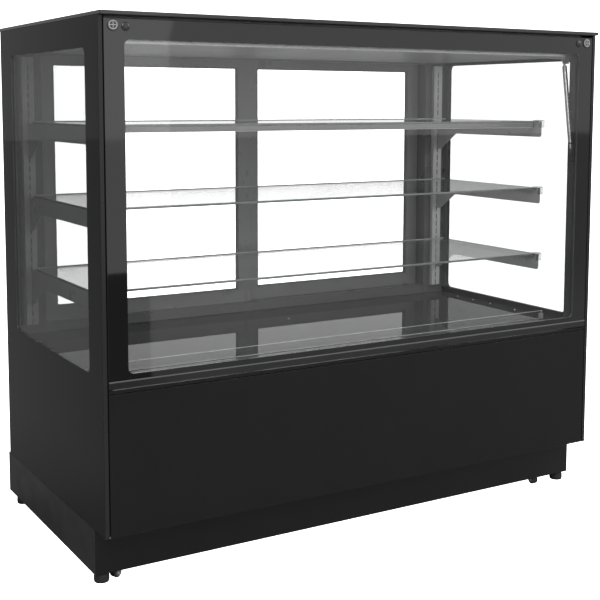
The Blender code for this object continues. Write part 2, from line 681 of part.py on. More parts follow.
def make_controls():
    """The touch-key temperature controller, the rocker switch and the power inlet on the rear panel."""
    face = BACK + GAP
    controller = block("controller", (0.4615, 0.5385), (face, face + 0.006), (0.312, 0.348), PARTS, edge=0.001)
    join(controller, block("controller_body", (0.465, 0.535), (0.320, face + 0.002), (0.316, 0.344), CUTTERS))
    give_material(controller, "black_plastic")
    inlet = block("power_inlet", (0.580, 0.620), (face, face + 0.004), (0.184, 0.216), PARTS, edge=0.001)
    join(inlet, block("inlet_body", (0.5865, 0.6135), (0.345, face + 0.002), (0.1905, 0.2095), CUTTERS))
    cut(inlet, block("inlet_socket", (0.589, 0.611), (0.352, face + 0.02), (0.193, 0.207), CUTTERS))
    give_material(inlet, "black_plastic")
    outline = [(0.0022, -0.0082), (0.0012, 0.0), (0.0022, 0.0082), (-0.004, 0.0075), (-0.004, -0.0075)]
    rocker = plate("power_switch", outline, 0.0, 0.012, PARTS)
    tilt = Matrix.Rotation(math.radians(-8), 4, "X")
    rocker.matrix_world = Matrix.Translation((0.400, BACK - 0.001, 0.330)) @ tilt @ rocker.matrix_world
    give_material(rocker, "black_plastic")


# ---- the whole case -----------------------------------------------------------------------------------------

clear_scene()
PARTS = collection("bakery_display_case")
CUTTERS = collection("cutters")
make_plinth()
make_base_floor()
make_feet()
for castor_end in CASTOR_Y:
    for castor_side in CASTOR_X:
        make_castor(castor_end, castor_side)
make_side_glasses()
make_posts()
make_top_plate()
make_canopy()
make_lower_panels()
make_front_sill()
make_tub()
make_deck()
make_evaporator()
for shelf_level, shelf_top in SHELF_TOPS.items():
    make_shelf(shelf_level, shelf_top)
make_shelf_rails()
make_shelf_light()
make_front_glass()
for glass_side in SIDES:
    make_hinge_arm(glass_side)
    make_gas_strut(glass_side)
make_door("left", DOOR_LEFT)
make_door("right", DOOR_RIGHT)
make_door_tracks()
make_compressor()
make_condenser()
make_condenser_fan()
make_controls()
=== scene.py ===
"""The looks of the bakery display case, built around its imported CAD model. Units are metres."""

import json
import math

import bmesh
import bpy
from mathutils import Matrix, Vector


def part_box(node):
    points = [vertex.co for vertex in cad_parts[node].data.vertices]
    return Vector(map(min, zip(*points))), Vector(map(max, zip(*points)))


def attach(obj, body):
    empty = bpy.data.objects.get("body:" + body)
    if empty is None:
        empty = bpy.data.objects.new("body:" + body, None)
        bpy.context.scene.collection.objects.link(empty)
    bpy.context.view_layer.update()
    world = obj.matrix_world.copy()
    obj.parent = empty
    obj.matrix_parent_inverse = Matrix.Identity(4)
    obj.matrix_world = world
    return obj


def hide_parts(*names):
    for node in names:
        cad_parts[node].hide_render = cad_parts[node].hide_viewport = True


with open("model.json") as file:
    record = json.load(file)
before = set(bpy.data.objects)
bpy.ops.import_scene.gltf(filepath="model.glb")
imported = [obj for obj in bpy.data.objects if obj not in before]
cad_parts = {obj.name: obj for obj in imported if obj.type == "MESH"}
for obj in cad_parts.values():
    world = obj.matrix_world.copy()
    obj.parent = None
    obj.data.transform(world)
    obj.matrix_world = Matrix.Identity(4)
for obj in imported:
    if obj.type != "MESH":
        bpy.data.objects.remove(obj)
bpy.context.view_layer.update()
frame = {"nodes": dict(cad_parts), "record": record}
NODES = frame["nodes"]
SIDES = {"left": -1, "right": 1}
LEVELS = ("lower", "middle", "upper")
CASE, LIFT = "case", "front_glass"

# ---- stage ---------------------------------------------------------------------------------------

# The camera: place, turn about the vertical, pitch, roll, lens and sensor in millimetres, vertical shift.
CAMERA_POSITION = Vector((-1.6426, -2.7401, 1.1347))
CAMERA_TURN = math.radians(-30.779)
CAMERA_PITCH = math.radians(-5.770)
CAMERA_ROLL = math.radians(0.125)
CAMERA_LENS = 67.5
CAMERA_SENSOR = 36
CAMERA_SHIFT = -0.14

# What the case reflects, by direction: an axis, then the level away from it, the level along it, and the two
# cosines between which the level changes. The camera itself sees BACKDROP.
STUDIO_ABOVE = ((0.0, 0.0, 1.0), (1.0, 1.20, 0.1, 0.9))
STUDIO_REAR = ((-0.958, 0.287, 0.0), (0.98, 0.45, -0.15, 0.55))
STUDIO_FLAG = ((0.739, 0.666, 0.105), (1.0, 0.92, 0.976, 0.986))
BACKDROP = 2.4
TRANSPARENT_BOUNCES = 32

# The floor: its size, its grey for lighting and in reflections, and the glow that the camera sees.
FLOOR_SIZE = 30
FLOOR_GREY, FLOOR_REFLECTED, FLOOR_LIFT = 0.62, 0.33, 2.00

# Soft lights: name, position, target, size and power.
LIGHTS = (
    ("key", (-2.6, -3.4, 3.6), (0, 0, 0.7), (2.5, 2.5), 110),
    ("fill", (3.2, -2.4, 3.0), (0, 0, 0.7), (2.5, 2.0), 50),
    ("window_box", (0.77, -4.0, 1.01), (0.77, 0, 1.01), (0.56, 1.82), 2.4),
)

# Black studio cards: name, low and high corner, and the further kinds of ray that each is hidden from. The
# first shows in reflections only; the second keeps light from the left off the inside of the case.
CARDS = (
    ("flag", (-0.300, -1.702, 0.001), (-0.067, -1.698, 0.535), ("diffuse", "shadow")),
    ("side_flag", (-1.102, -0.500, 0.420), (-1.098, 0.700, 1.500), ("glossy",)),
)


def make_camera():
    data = bpy.data.cameras.new("camera")
    data.lens = CAMERA_LENS
    data.sensor_width = CAMERA_SENSOR
    data.shift_y = CAMERA_SHIFT
    camera = bpy.data.objects.new("camera", data)
    bpy.context.scene.collection.objects.link(camera)
    turn = Matrix.Rotation(CAMERA_TURN, 4, "Z")
    tilt = Matrix.Rotation(math.pi / 2 + CAMERA_PITCH, 4, "X")
    roll = Matrix.Rotation(CAMERA_ROLL, 4, "Z")
    camera.matrix_world = Matrix.Translation(CAMERA_POSITION) @ turn @ tilt @ roll
    bpy.context.scene.camera = camera


def make_area_light(name, position, target, size, power):
    data = bpy.data.lights.new(name, "AREA")
    data.shape = "RECTANGLE"
    data.size, data.size_y = size
    data.energy = power
    lamp = bpy.data.objects.new(name, data)
    lamp.location = position
    lamp.rotation_euler = (Vector(target) - Vector(position)).to_track_quat("-Z", "Y").to_euler()
    lamp.visible_camera = False
    bpy.context.scene.collection.objects.link(lamp)


def make_world():
    """A white backdrop. What the case reflects is a softer studio: darker behind it, brighter overhead."""
    world = bpy.data.worlds.new("studio")
    world.use_nodes = True
    tree = world.node_tree
    background = tree.nodes["Background"]
    background.inputs["Strength"].default_value = 1.0
    direction = tree.nodes.new("ShaderNodeTexCoord").outputs["Generated"]

    def lobe(axis, levels):
        dot = tree.nodes.new("ShaderNodeVectorMath")
        dot.operation = "DOT_PRODUCT"
        dot.inputs[1].default_value = axis
        tree.links.new(direction, dot.inputs[0])
        made = tree.nodes.new("ShaderNodeMapRange")
        made.interpolation_type = "SMOOTHSTEP"
        for key, value in zip(("To Min", "To Max", "From Min", "From Max"), levels):
            made.inputs[key].default_value = value
        tree.links.new(dot.outputs["Value"], made.inputs["Value"])
        return made.outputs[0]

    reflected = lobe(*STUDIO_ABOVE)
    for studio in (STUDIO_REAR, STUDIO_FLAG):
        level = tree.nodes.new("ShaderNodeMath")
        level.operation = "MULTIPLY"
        tree.links.new(lobe(*studio), level.inputs[0])
        tree.links.new(reflected, level.inputs[1])
        reflected = level.outputs[0]
    seen = tree.nodes.new("ShaderNodeLightPath").outputs["Is Camera Ray"]
    pick = tree.nodes.new("ShaderNodeMix")
    tree.links.new(seen, pick.inputs["Factor"])
    tree.links.new(reflected, pick.inputs[2])
    pick.inputs[3].default_value = BACKDROP
    tree.links.new(pick.outputs[0], background.inputs["Color"])
    bpy.context.scene.world = world
    bpy.context.scene.view_settings.view_transform = "Standard"
    bpy.context.scene.cycles.transparent_max_bounces = TRANSPARENT_BOUNCES


def make_stage():
    make_world()
    shape = bmesh.new()
    bmesh.ops.create_grid(shape, x_segments=1, y_segments=1, size=FLOOR_SIZE)
    mesh = bpy.data.meshes.new("floor")
    shape.to_mesh(mesh)
    shape.free()
    floor = bpy.data.objects.new("floor", mesh)
    bpy.context.scene.collection.objects.link(floor)
    g = Graph("floor")
    path = g.add("ShaderNodeLightPath")
    grey = g.add("ShaderNodeMapRange", {"Value": path.outputs["Is Glossy Ray"], "To Min": FLOOR_GREY,
                                        "To Max": FLOOR_REFLECTED})
    g.link(grey.outputs[0], g.shader.inputs["Base Color"])
    g.shader.inputs["Roughness"].default_value = 0.9
    g.shader.inputs["Specular IOR Level"].default_value = 0.1
    g.shader.inputs["Emission Color"].default_value = (1, 1, 1, 1)
    lift = g.add("ShaderNodeMath", {0: path.outputs["Is Camera Ray"], 1: FLOOR_LIFT},
                 operation="MULTIPLY")
    g.link(lift.outputs[0], g.shader.inputs["Emission Strength"])
    floor.data.materials.append(g.material)
    for light in LIGHTS:
        make_area_light(*light)
    for card in CARDS:
        make_card(*card)


def make_card(name, low, high, hidden):
    shape = bmesh.new()
    add_block(shape, low, high)
    mesh = mesh_from(shape, name)
    card = bpy.data.objects.new(name, mesh)
    bpy.context.scene.collection.objects.link(card)
    mesh.materials.append(moulded(name + "_black", (0.002, 0.002, 0.002), 0.9))
    for kind in ("camera", "transmission", "volume_scatter") + hidden:
        setattr(card, "visible_" + kind, False)


# ---- node helpers --------------------------------------------------------------------------------


def shade(colour, factor):
    return tuple(min(1.0, c * factor) for c in colour)


class Graph:
    """A material's node tree, with short calls for adding and linking nodes."""

    def __init__(self, name):
        self.material = bpy.data.materials.new(name)
        self.material.use_nodes = True
        self.tree = self.material.node_tree
        self.shader = self.tree.nodes["Principled BSDF"]
        self.output = self.tree.nodes["Material Output"]
        self.where = self.add("ShaderNodeTexCoord").outputs["Object"]

    def add(self, kind, inputs=None, **settings):
        node = self.tree.nodes.new(kind)
        for key, value in settings.items():
            setattr(node, key, value)
        for key, value in (inputs or {}).items():
            if isinstance(value, bpy.types.NodeSocket):
                self.tree.links.new(value, node.inputs[key])
            else:
                node.inputs[key].default_value = value
        return node

    def link(self, source, target):
        self.tree.links.new(source, target)

    def noise(self, scale, detail=3.0, stretch=(1, 1, 1)):
        spread = self.add("ShaderNodeMapping", {"Vector": self.where, "Scale": stretch})
        made = self.add("ShaderNodeTexNoise", {"Vector": spread.outputs[0], "Scale": scale,
                                               "Detail": detail})
        return made.outputs["Fac"]

    def spread(self, value, low, high, start=0.3, end=0.7):
        """Maps value from start..end to low..high."""
        made = self.add("ShaderNodeMapRange", {"Value": value, "From Min": start, "From Max": end,
                                               "To Min": low, "To Max": high})
        return made.outputs[0]

    def vary_colour(self, value, colour, low, high):
        """Gives the shader colour, times low to high as value grows."""
        ramp = self.add("ShaderNodeValToRGB", {"Fac": value})
        for element, position, factor in zip(ramp.color_ramp.elements, (0.3, 0.7), (low, high)):
            element.position = position
            element.color = (*shade(colour, factor), 1)
        self.link(ramp.outputs[0], self.shader.inputs["Base Color"])

    def bump(self, height, distance, strength=1.0):
        made = self.add("ShaderNodeBump", {"Height": height, "Distance": distance, "Strength": strength})
        self.link(made.outputs[0], self.shader.inputs["Normal"])


def painted(name, colour, roughness, grain=900, bump=0.00004, specular=0.5):
    """Powder coat or paint: an orange-peel surface with faint cloudiness."""
    g = Graph(name)
    g.vary_colour(g.noise(6), colour, 0.94, 1.06)
    g.link(g.spread(g.noise(14, 5), roughness * 0.88, roughness * 1.12), g.shader.inputs["Roughness"])
    g.shader.inputs["Specular IOR Level"].default_value = specular
    if bump:
        g.bump(g.noise(grain, 2), bump)
    return g.material


def brushed(name, colour, roughness, along="Z", bump=0.00002):
    """Metal with a fine brushed grain along one axis."""
    g = Graph(name)
    stretch = tuple(0.02 if axis == along else 1.0 for axis in "XYZ")
    grain = g.noise(900, 3, stretch)
    g.vary_colour(grain, colour, 0.90, 1.08)
    g.link(g.spread(grain, roughness * 0.8, roughness * 1.25), g.shader.inputs["Roughness"])
    g.shader.inputs["Metallic"].default_value = 1.0
    g.bump(grain, bump)
    return g.material


FACING_MIRROR = 0.04  # how much of the light a glass surface mirrors when it is seen face on


def clear(name, tint=(0.998, 0.999, 0.998), gloss=1.0):
    """Clear flat glass: light passes straight through, and each surface mirrors by Schlick's rule, which
    unlike a refracting Fresnel is the same from inside the pane. A gloss below 1 is an anti-reflection
    coating."""
    g = Graph(name)
    through = g.add("ShaderNodeBsdfTransparent", {"Color": (*tint, 1)})
    graze = g.add("ShaderNodeLayerWeight", {"Blend": 0.5}).outputs["Facing"]
    power = g.add("ShaderNodeMath", {0: graze, 1: 5.0}, operation="POWER").outputs[0]
    fresnel = g.add("ShaderNodeMath", {0: power, 1: (1 - FACING_MIRROR) * gloss, 2: FACING_MIRROR * gloss},
                    operation="MULTIPLY_ADD")
    g.shader.inputs["Base Color"].default_value = (1, 1, 1, 1)
    g.shader.inputs["Metallic"].default_value = 1.0
    g.link(g.spread(g.noise(5, 4), 0.004, 0.014), g.shader.inputs["Roughness"])
    mix = g.add("ShaderNodeMixShader", {0: fresnel.outputs[0], 1: through.outputs[0], 2: g.shader.outputs[0]})
    g.link(mix.outputs[0], g.output.inputs["Surface"])
    return g.material


def glass_edge(name, colour, roughness=0.25):
    """The ground and polished edge of a pane, dark where the light runs along the glass."""
    g = Graph(name)
    streak = g.noise(160, 3, (0.2, 0.2, 3))
    g.vary_colour(streak, colour, 0.8, 1.25)
    g.link(g.spread(streak, roughness * 0.7, roughness * 1.3), g.shader.inputs["Roughness"])
    return g.material


def moulded(name, colour, roughness, bump=0.00003):
    """Moulded plastic or rubber with a fine spark texture."""
    g = Graph(name)
    g.vary_colour(g.noise(30), colour, 0.85, 1.15)
    g.link(g.spread(g.noise(60, 4), roughness * 0.85, roughness * 1.1), g.shader.inputs["Roughness"])
    g.bump(g.noise(2500, 2), bump)
    return g.material


def make_materials():
    return {
        "print": painted("black_print", (0.009, 0.009, 0.0092), 0.04, 8, 0.0, 0.55),
        "side_print": painted("side_black_print", (0.006, 0.006, 0.0062), 0.05, 8, 0.0, 0.06),
        "deck": painted("deck_black", (0.040, 0.040, 0.0405), 0.03, 60, 0.0, 0.07),
        "top": painted("top_black", (0.020, 0.020, 0.021), 0.15, 60, 0.0, 0.5),
        "paint": painted("satin_black", (0.0085, 0.0085, 0.0087), 0.32, 900, 0.00003, 0.2),
        "plinth": painted("plinth_black", (0.007, 0.007, 0.0072), 0.38, 900, 0.00003, 0.3),
        "grey": painted("graphite_coat", (0.20, 0.20, 0.205), 0.30, 900, 0.00002, 0.5),
        "jamb": painted("jamb_coat_and_painted_light", (0.115, 0.115, 0.116), 0.30, 900, 0.00002, 0.5),
        "ceiling": painted("ceiling_coat", (0.28, 0.28, 0.285), 0.35, 900, 0.000003, 0.3),
        "door": painted("door_coat", (0.21, 0.21, 0.212), 0.30, 900, 0.000005, 0.5),
        "trim": painted("edge_trim", (0.018, 0.018, 0.0185), 0.30, 900, 0.00001, 0.25),
        "steel": brushed("brushed_steel", (0.52, 0.52, 0.53), 0.30, "Z"),
        "bright": brushed("polished_steel", (0.70, 0.70, 0.71), 0.16, "X", 0.00001),
        "zinc": painted("zinc_rail_and_painted_shade", (0.50, 0.50, 0.505), 0.35, 900, 0.00001, 0.6),
        "clear": clear("clear_glass", gloss=0.8),
        "side_clear": clear("side_clear_glass", (0.845, 0.848, 0.847), gloss=0.35),
        "shelf": clear("shelf_glass", (0.998, 0.999, 0.9985)),
        "edge": glass_edge("glass_edge", (0.045, 0.055, 0.052)),
        "shelf_edge": glass_edge("shelf_edge", (0.13, 0.145, 0.14)),
        # Pale edges for the deflector glass, standing in for the highlight along its top edge: painted
        # highlight.
        "lit_edge": glass_edge("painted_highlight_edge", (0.35, 0.38, 0.37), 0.12),
        "black": moulded("black_plastic", (0.014, 0.014, 0.015), 0.38),
        "rubber": moulded("black_rubber", (0.012, 0.012, 0.012), 0.70, 0.00005),
        "hub": moulded("grey_nylon", (0.20, 0.20, 0.20), 0.45),
        "white": moulded("clear_bumper", (0.80, 0.80, 0.80), 0.30),
        "foam": painted("white_liner", (0.72, 0.72, 0.71), 0.45, 900, 0.00004),
        "coil": brushed("aluminium_fins", (0.58, 0.59, 0.61), 0.35, "Z"),
        "copper": brushed("copper_pipe", (0.72, 0.36, 0.22), 0.30, "X"),
        "lens": moulded("lamp_diffuser", (0.85, 0.85, 0.83), 0.35),
        "lip": brushed("lip_metal", (0.42, 0.42, 0.43), 0.28, "X"),
        "bar": painted("bar_grey", (0.17, 0.17, 0.175), 0.30, 900, 0.00001),
        "tube": brushed("strut_tube_metal", (0.55, 0.55, 0.56), 0.25, "Z"),
        "mount": brushed("zinc_plate", (0.75, 0.75, 0.76), 0.25, "Y"),
        "disc": painted("disc_satin", (0.03, 0.03, 0.031), 0.30, 900, 0.00001),
        "seal": moulded("grey_seal", (0.16, 0.16, 0.16), 0.50),
        "cross": painted("disc_mark", (0.45, 0.45, 0.45), 0.35, 900, 0.00001),
        "clip": moulded("clip_plastic", (0.40, 0.40, 0.40), 0.25),
        "display": painted("display_window", (0.012, 0.006, 0.006), 0.06, 40, 0.0),
        "key": moulded("key_rubber", (0.10, 0.10, 0.105), 0.50),
        "bracket": painted("bracket_coat", (0.30, 0.30, 0.303), 0.30, 900, 0.00002, 0.5),
        # Black seals, and the black strip on the left jamb that stands in for shade there: painted shade.
        "gap": painted("black_seal_and_painted_shade", (0.003, 0.003, 0.003), 0.60, 900, 0.00001, 0.1),
        "rail_black": painted("edge_trim", (0.012, 0.012, 0.0122), 0.20, 900, 0.00001, 0.5),
        # A pale strip along the top of the bottom rail: painted highlight.
        "rail_painted_highlight": painted("edge_trim", (0.085, 0.085, 0.086), 0.25, 900, 0.00001, 0.6),
        # A darker copy of the jamb coat for the left rear post: painted shade.
        "jamb_painted_shade": painted("jamb_coat_and_painted_light", (0.085, 0.085, 0.086), 0.30, 900, 0.00002, 0.4),
        # A darker copy of the rail finish for the left shelf rail: painted shade.
        "zinc_painted_shade": painted("zinc_rail_and_painted_shade", (0.34, 0.34, 0.343), 0.35, 900, 0.00001, 0.5),
        # A lighter copy of the jamb coat for the upper door track: painted light.
        "jamb_painted_light": painted("jamb_coat_and_painted_light", (0.19, 0.19, 0.192), 0.30, 900, 0.00001, 0.4),
        "clip_clear": clear("clip_clear", (0.80, 0.81, 0.81)),
    }


# ---- shape helpers -------------------------------------------------------------------------------

SHARP_ANGLE, SHARP_ANGLE_ROUNDED = math.radians(35), math.radians(50)
WELD = 0.00001  # vertices closer than this become one
FACE_ON = 0.99  # a face this much along a pane's normal is one of its two large faces


def add_piece(name, mesh, material, body, weighted=False):
    """Makes a piece that rides its body. Pieces with rounded edges are shaded with weighted normals."""
    obj = bpy.data.objects.new(name, mesh)
    bpy.context.scene.collection.objects.link(obj)
    finishes = material if isinstance(material, (list, tuple)) else [material]
    for one in finishes:
        mesh.materials.append(one)
    mesh.shade_smooth()
    mesh.set_sharp_from_angle(angle=SHARP_ANGLE_ROUNDED if weighted else SHARP_ANGLE)
    if weighted:
        normals = obj.modifiers.new("normals", "WEIGHTED_NORMAL")
        normals.keep_sharp = True
    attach(obj, body)
    return obj


def mesh_from(shape, name):
    mesh = bpy.data.meshes.new(name)
    bmesh.ops.recalc_face_normals(shape, faces=shape.faces)
    shape.to_mesh(mesh)
    shape.free()
    return mesh


def edges_of(verts):
    """The edges that meet the given vertices, each one once and in a fixed order."""
    return list(dict.fromkeys(edge for vert in verts for edge in vert.link_edges))


def round_edges(shape, edges, width, segments):
    bmesh.ops.bevel(shape, geom=edges, offset=width, segments=segments, affect="EDGES", profile=0.5)


def ordered(first, second):
    """The low and the high corner of the box between two opposite corners."""
    return [min(a, b) for a, b in zip(first, second)], [max(a, b) for a, b in zip(first, second)]


def mirrored(sign, low, high):
    """A box given for the right side, as (low, high) for the side that sign stands for."""
    return ordered((sign * low[0], low[1], low[2]), (sign * high[0], high[1], high[2]))


def add_block(shape, low, high, edge=0.0, segments=2, matrix=None):
    """Adds a block with rounded edges to a bmesh."""
    low, high = Vector(low), Vector(high)
    made = bmesh.ops.create_cube(shape, size=1.0)["verts"]
    bmesh.ops.scale(shape, vec=high - low, verts=made)
    bmesh.ops.translate(shape, vec=(low + high) / 2, verts=made)
    if matrix is not None:
        bmesh.ops.transform(shape, matrix=matrix, verts=made)
    if edge:
        round_edges(shape, edges_of(made), edge, segments)


def turn_from_z(axis):
    return Vector((0, 0, 1)).rotation_difference(Vector(axis)).to_matrix().to_4x4()


def add_rod(shape, start, end, radius, segments, edge):
    """Adds a round bar to a bmesh, its end rims rounded by edge."""
    start, end = Vector(start), Vector(end)
    along = end - start
    place = Matrix.Translation((start + end) / 2) @ turn_from_z(along)
    made = bmesh.ops.create_cone(shape, cap_ends=True, segments=segments, radius1=radius, radius2=radius,
                                 depth=along.length, matrix=place)["verts"]
    if edge:
        rims = [e for e in edges_of(made) if any(len(f.verts) > 4 for f in e.link_faces)]
        round_edges(shape, rims, edge, 3)


def block_piece(name, low, high, material, body, edge=0.001, segments=2):
    return blocks_piece(name, [(low, high)], material, body, edge, segments)


def blocks_piece(name, boxes, material, body, edge=0.0005, segments=2):
    """Several equal-finish blocks as one piece, each given by two opposite corners."""
    shape = bmesh.new()
    for first, second in boxes:
        add_block(shape, *ordered(first, second), edge, segments)
    return add_piece(name, mesh_from(shape, name), material, body, True)


def rod_piece(name, start, end, radius, material, body, edge=0.0004, segments=40):
    return rods_piece(name, [(start, end, radius)], material, body, edge, segments)


def rods_piece(name, rods, material, body, edge=0.0003, segments=24):
    """Several equal-finish round bars (start, end, radius) as one piece."""
    shape = bmesh.new()
    for start, end, radius in rods:
        add_rod(shape, start, end, radius, segments, edge)
    return add_piece(name, mesh_from(shape, name), material, body, True)


def turned_piece(name, profile, centre, axis, material, body, segments=40):
    """A turned piece: profile lists (radius, height) along the axis from the centre, starting and ending at
    radius 0 or closing on itself."""
    shape = bmesh.new()
    ring = [shape.verts.new((radius, 0, height)) for radius, height in profile]
    edges = [shape.edges.new(pair) for pair in zip(ring, ring[1:])]
    if profile[0][0] > 0:
        edges.append(shape.edges.new((ring[-1], ring[0])))
    bmesh.ops.spin(shape, geom=ring + edges, cent=(0, 0, 0), axis=(0, 0, 1), angle=math.tau,
                   steps=segments, use_merge=True)
    bmesh.ops.remove_doubles(shape, verts=shape.verts, dist=WELD)
    turn = turn_from_z(axis)
    bmesh.ops.transform(shape, matrix=Matrix.Translation(Vector(centre)) @ turn, verts=shape.verts)
    return add_piece(name, mesh_from(shape, name), material, body)


def rounded_rectangle(low, high, radius, steps=8):
    """Points of a rectangle with round corners, anticlockwise."""
    corners = [((high[0], high[1]), 0), ((low[0], high[1]), 90), ((low[0], low[1]), 180),
               ((high[0], low[1]), 270)]
    points = []
    for (x, y), start in corners:
        cx = x - radius if start in (0, 270) else x + radius
        cy = y - radius if start in (0, 90) else y + radius
        for i in range(steps + 1):
            a = math.radians(start + 90 * i / steps)
            points.append((cx + radius * math.cos(a), cy + radius * math.sin(a)))
    return points


def shape_of_curve(name, curve):
    """A curve turned into a bmesh."""
    guide = bpy.data.objects.new(name + "_guide", curve)
    bpy.context.scene.collection.objects.link(guide)
    bpy.context.view_layer.update()
    mesh = bpy.data.meshes.new_from_object(guide.evaluated_get(bpy.context.evaluated_depsgraph_get()))
    bpy.data.objects.remove(guide)
    shape = bmesh.new()
    shape.from_mesh(mesh)
    bmesh.ops.remove_doubles(shape, verts=shape.verts, dist=WELD)
    return shape


# From a sheet's own plane to the plane that it lies in, and that plane's normal.
PLANES = {
    "XZ": Matrix(((1, 0, 0, 0), (0, 0, -1, 0), (0, 1, 0, 0), (0, 0, 0, 1))),
    "YZ": Matrix(((0, 0, 1, 0), (1, 0, 0, 0), (0, 1, 0, 0), (0, 0, 0, 1))),
    "XY": Matrix.Identity(4),
}
NORMALS = {"XZ": Vector((0, 1, 0)), "YZ": Vector((1, 0, 0)), "XY": Vector((0, 0, 1))}


def outline_piece(name, loops, plane, offset, thickness, material, body, rim_edge=0.0,
                  edge_material=None):
    """A flat sheet cut to closed outlines, the first its rim and the others its holes. offset is the sheet's
    middle along the plane's normal axis. rim_edge rounds the outer rim."""
    curve = bpy.data.curves.new(name, "CURVE")
    curve.dimensions = "2D"
    curve.fill_mode = "BOTH"
    curve.extrude = thickness / 2
    for loop in loops:
        spline = curve.splines.new("POLY")
        spline.points.add(len(loop) - 1)
        for point, (a, b) in zip(spline.points, loop):
            point.co = (a, b, 0, 1)
        spline.use_cyclic_u = True
    shape = shape_of_curve(name, curve)
    if rim_edge:
        rim = {(round(a, 5), round(b, 5)) for a, b in loops[0]}
        on_rim = [e for e in shape.edges if abs(e.verts[0].co.z - e.verts[1].co.z) < thickness / 2
                  and len({round(f.normal.z) for f in e.link_faces}) == 2
                  and all((round(v.co.x, 5), round(v.co.y, 5)) in rim for v in e.verts)]
        round_edges(shape, on_rim, rim_edge, 2)
    bmesh.ops.transform(shape, matrix=PLANES[plane], verts=shape.verts)
    bmesh.ops.translate(shape, vec=NORMALS[plane] * offset, verts=shape.verts)
    if edge_material is None:
        return add_piece(name, mesh_from(shape, name), material, body, bool(rim_edge))
    shape.normal_update()
    for face in shape.faces:
        face.material_index = 0 if abs(face.normal.dot(NORMALS[plane])) > FACE_ON else 1
    return add_piece(name, mesh_from(shape, name), [material, edge_material], body)


def ring_piece(name, low, high, inset, radius, plane, offset, thickness, material, body,
               outer_radius=0.001, rim_edge=0.0):
    """A flat rectangular ring: a rim from low to high, and a round-cornered hole inset from it. inset is one
    width, or (left, right, bottom, top)."""
    left, right, bottom, top = inset if isinstance(inset, tuple) else (inset,) * 4
    hole = rounded_rectangle((low[0] + left, low[1] + bottom), (high[0] - right, high[1] - top), radius)
    rim = rounded_rectangle(low, high, outer_radius, 2)
    return outline_piece(name, [rim, hole], plane, offset, thickness, material, body, rim_edge)


def pane_piece(name, low, high, material, edge_material, body, edge=0.0008):
    """A pane of glass: clear faces, and a ground edge of its own finish."""
    shape = bmesh.new()
    add_block(shape, low, high, edge, 2)
    size = Vector(high) - Vector(low)
    thin = min(range(3), key=lambda i: size[i])
    shape.normal_update()
    for face in shape.faces:
        face.material_index = 0 if abs(face.normal[thin]) > FACE_ON else 1
    return add_piece(name, mesh_from(shape, name), [material, edge_material], body, True)


def tube_piece(name, points, radius, material, body):
    """A bent pipe through the given points, with rounded bends."""
    curve = bpy.data.curves.new(name, "CURVE")
    curve.dimensions = "3D"
    curve.bevel_depth = radius
    curve.bevel_resolution = 3
    curve.use_fill_caps = True
    curve.resolution_u = 10
    spline = curve.splines.new("BEZIER")
    spline.bezier_points.add(len(points) - 1)
    for point, place in zip(spline.bezier_points, points):
        point.co = place
        point.handle_left_type = point.handle_right_type = "AUTO"
    shape = shape_of_curve(name, curve)
    return add_piece(name, mesh_from(shape, name), material, body)


SCREW_SIDES = 16
# A screw head's outline from the middle out: radius and height, both as parts of its radius.
SCREW_PROFILE = ((0.22, 0.40), (0.30, 0.50), (0.62, 0.42), (0.90, 0.20), (1.0, 0.0))


def screw_heads(name, places, axis, radius, material, body):
    """Domed screw heads with a hollow in the middle, as one piece. Each place is the head's seat."""
    turn = turn_from_z(axis)
    shape = bmesh.new()
    corners = [(math.cos(math.tau * i / SCREW_SIDES), math.sin(math.tau * i / SCREW_SIDES))
               for i in range(SCREW_SIDES)]
    for place in places:
        at = Matrix.Translation(Vector(place)) @ turn
        rings = [[shape.verts.new(at @ Vector((radius * r * x, radius * r * y, radius * h)))
                  for x, y in corners] for r, h in SCREW_PROFILE]
        for inner, outer in zip(rings, rings[1:]):
            for i in range(SCREW_SIDES):
                j = (i + 1) % SCREW_SIDES
                shape.faces.new((inner[i], outer[i], outer[j], inner[j]))
        shape.faces.new(rings[0])
        shape.faces.new(rings[-1])
    return add_piece(name, mesh_from(shape, name), material, body)


def give(material, *names):
    """Gives CAD nodes a finish."""
    for name in names:
        mesh = NODES[name].data
        mesh.materials.clear()
        mesh.materials.append(material)


# ---- casing --------------------------------------------------------------------------------------

WINDOW_Y, WINDOW_Z, WINDOW_RADIUS = (-0.288, 0.280), (0.508, 1.257), 0.015
FRONT_WINDOW_X, FRONT_WINDOW_Z, FRONT_WINDOW_RADIUS = 0.6886, (0.5155, 1.2730), 0.014
WINDOW_GAP = 0.0001  # between a printed border and the clear pane inside it
SIDE_MIDDLE, SIDE_THICKNESS = 0.7451, 0.0098
SIDE_PANES = (("outer", 0.7484, 0.0032), ("inner", 0.7416, 0.0028))  # name, middle and thickness
ARM_Y = (-0.3677, -0.3655)  # the front and back of the plates behind the front glass
HINGE_Y, HINGE_Z = -0.363, 1.308
STRUT_X, STRUT_TOP, STRUT_END = 0.715, (-0.287, 1.257), (-0.328, 0.972)  # the gas struts' two joints
GLASS_FACE_Y = -0.3751  # where the fittings on the front glass sit


def window_outline(low, high, radius):
    """The outline of a clear pane in a window."""
    return rounded_rectangle((low[0] + WINDOW_GAP, low[1] + WINDOW_GAP),
                             (high[0] - WINDOW_GAP, high[1] - WINDOW_GAP), radius)


